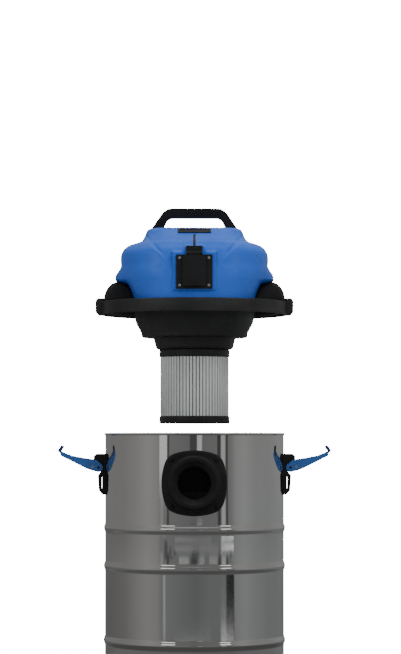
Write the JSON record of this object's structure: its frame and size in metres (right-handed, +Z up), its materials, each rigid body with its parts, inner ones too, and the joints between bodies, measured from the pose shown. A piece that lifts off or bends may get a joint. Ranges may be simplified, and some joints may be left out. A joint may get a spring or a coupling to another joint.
{
  "type": "shop vacuum",
  "caption": "Wet and dry shop vacuum: steel drum on casters with side latches and a hose inlet, its motor head with handle, power-tool socket and cartridge filter lifted off above it.",
  "frame": {"origin": "on the floor, on the drum's axis, at the centre of the bounding box's bottom", "axes": "+Z up; the hose inlet and the power-tool socket face -Y; the latches are at +X and -X"},
  "size_m": [0.506, 0.38, 0.926],
  "materials": {
    "steel": "polished, mirror-like",
    "black_plastic": "fine moulded grain, satin",
    "blue_plastic": "semi-gloss",
    "fasteners": "zinc plated",
    "rubber": "matt",
    "wheel_rubber": "matt",
    "filter_paper": "pleated filter paper",
    "filter_core_plastic": "moulded",
    "float_plastic": "moulded",
    "motor_steel": "zinc plated sheet and laminations",
    "aluminium": "pressed sheet",
    "copper": "turned"
  },
  "bodies": {
    "drum": {"drum_shell": "steel", "drum_bottom": "steel", "caster_base": "black_plastic", "base_screws": "fasteners", "inlet_housing": "black_plastic", "inlet_gasket": "rubber", "inlet_deflector": "black_plastic", "inlet_screws": "fasteners", "latch_bracket_left": "black_plastic", "latch_bracket_right": "black_plastic", "latch_rivets": "fasteners", "lever_pins": "fasteners"},
    "head": {"head_base": "black_plastic", "head_seal": "rubber", "motor_cover": "blue_plastic", "cover_screws": "fasteners", "carry_handle": "black_plastic", "handle_screws": "fasteners", "socket_plate": "black_plastic", "socket_insert": "black_plastic", "socket_contacts": "copper", "flap_pin": "fasteners", "socket_screws": "fasteners", "switch_bezel": "black_plastic", "cable_gland": "black_plastic", "motor_gasket": "rubber", "fan_housing": "black_plastic", "motor_bracket": "motor_steel", "motor_bearings": "fasteners", "motor_stator": "motor_steel", "brush_holders": "black_plastic", "float_cage": "black_plastic"},
    "rotor": {"armature": "motor_steel", "commutator": "copper", "impeller": "aluminium"},
    "flap": {"socket_flap": "black_plastic"},
    "rocker": {"power_switch": "black_plastic"},
    "float": {"float_ball": "float_plastic"},
    "filter": {"filter_top_cap": "rubber", "filter_bottom_cap": "rubber", "filter_media": "filter_paper", "filter_core": "filter_core_plastic"},
    "lever_right": {"latch_lever_right": "blue_plastic", "hook_pin_right": "fasteners"},
    "hook_right": {"latch_hook_right": "black_plastic"},
    "lever_left": {"latch_lever_left": "blue_plastic", "hook_pin_left": "fasteners"},
    "hook_left": {"latch_hook_left": "black_plastic"},
    "fork_front_left": {"caster_fork_front_left": "black_plastic", "caster_axle_front_left": "fasteners"},
    "wheel_front_left": {"caster_wheel_front_left": "wheel_rubber"},
    "fork_front_right": {"caster_fork_front_right": "black_plastic", "caster_axle_front_right": "fasteners"},
    "wheel_front_right": {"caster_wheel_front_right": "wheel_rubber"},
    "fork_rear_right": {"caster_fork_rear_right": "black_plastic", "caster_axle_rear_right": "fasteners"},
    "wheel_rear_right": {"caster_wheel_rear_right": "wheel_rubber"},
    "fork_rear_left": {"caster_fork_rear_left": "black_plastic", "caster_axle_rear_left": "fasteners"},
    "wheel_rear_left": {"caster_wheel_rear_left": "wheel_rubber"}
  },
  "joints": [
    {"name": "head_lift", "type": "slide", "parent": "drum", "child": "head", "axis": [0, 0, 1], "range_m": [-0.2347, 0]},
    {"name": "latch_lever_right", "type": "hinge", "parent": "drum", "child": "lever_right", "pos_m": [0.177, 0, 0.446], "axis": [0, -1, 0], "range_deg": [-102, 0]},
    {"name": "latch_hook_right", "type": "hinge", "parent": "lever_right", "child": "hook_right", "pos_m": [0.18792, 0, 0.44734], "axis": [0, -1, 0], "range_deg": [0, 159]},
    {"name": "latch_lever_left", "type": "hinge", "parent": "drum", "child": "lever_left", "pos_m": [-0.177, 0, 0.446], "axis": [0, 1, 0], "range_deg": [-102, 0]},
    {"name": "latch_hook_left", "type": "hinge", "parent": "lever_left", "child": "hook_left", "pos_m": [-0.18792, 0, 0.44734], "axis": [0, 1, 0], "range_deg": [0, 159]},
    {"name": "caster_swivel_front_left", "type": "hinge", "parent": "drum", "child": "fork_front_left", "pos_m": [-0.13152, -0.13152, 0.06], "axis": [0, 0, 1], "continuous": true},
    {"name": "wheel_roll_front_left", "type": "hinge", "parent": "fork_front_left", "child": "wheel_front_left", "pos_m": [-0.14213, -0.14213, 0.025], "axis": [0.7071, -0.7071, 0], "continuous": true},
    {"name": "caster_swivel_front_right", "type": "hinge", "parent": "drum", "child": "fork_front_right", "pos_m": [0.13152, -0.13152, 0.06], "axis": [0, 0, 1], "continuous": true},
    {"name": "wheel_roll_front_right", "type": "hinge", "parent": "fork_front_right", "child": "wheel_front_right", "pos_m": [0.14213, -0.14213, 0.025], "axis": [0.7071, 0.7071, 0], "continuous": true},
    {"name": "caster_swivel_rear_right", "type": "hinge", "parent": "drum", "child": "fork_rear_right", "pos_m": [0.13152, 0.13152, 0.06], "axis": [0, 0, 1], "continuous": true},
    {"name": "wheel_roll_rear_right", "type": "hinge", "parent": "fork_rear_right", "child": "wheel_rear_right", "pos_m": [0.14213, 0.14213, 0.025], "axis": [-0.7071, 0.7071, 0], "continuous": true},
    {"name": "caster_swivel_rear_left", "type": "hinge", "parent": "drum", "child": "fork_rear_left", "pos_m": [-0.13152, 0.13152, 0.06], "axis": [0, 0, 1], "continuous": true},
    {"name": "wheel_roll_rear_left", "type": "hinge", "parent": "fork_rear_left", "child": "wheel_rear_left", "pos_m": [-0.14213, 0.14213, 0.025], "axis": [-0.7071, -0.7071, 0], "continuous": true},
    {"name": "motor_spin", "type": "hinge", "parent": "head", "child": "rotor", "pos_m": [0, 0, 0.745], "axis": [0, 0, 1], "continuous": true},
    {"name": "socket_flap", "type": "hinge", "parent": "head", "child": "flap", "pos_m": [0, -0.1698, 0.831], "axis": [-1, 0, 0], "range_deg": [0, 110]},
    {"name": "power_switch", "type": "hinge", "parent": "head", "child": "rocker", "pos_m": [0, -0.09648, 0.87433], "axis": [-1, 0, 0], "range_deg": [0, 12]},
    {"name": "float_rise", "type": "slide", "parent": "head", "child": "float", "axis": [0, 0, 1], "range_m": [0, 0.03]},
    {"name": "filter_pull_off", "type": "slide", "parent": "head", "child": "filter", "axis": [0, 0, 1], "range_m": [-0.1, 0]}
  ],
  "couplings": [
    {"joint": "latch_hook_right", "follows": "latch_lever_right", "ratio": -1.5539},
    {"joint": "latch_hook_left", "follows": "latch_lever_left", "ratio": -1.5539}
  ]
}
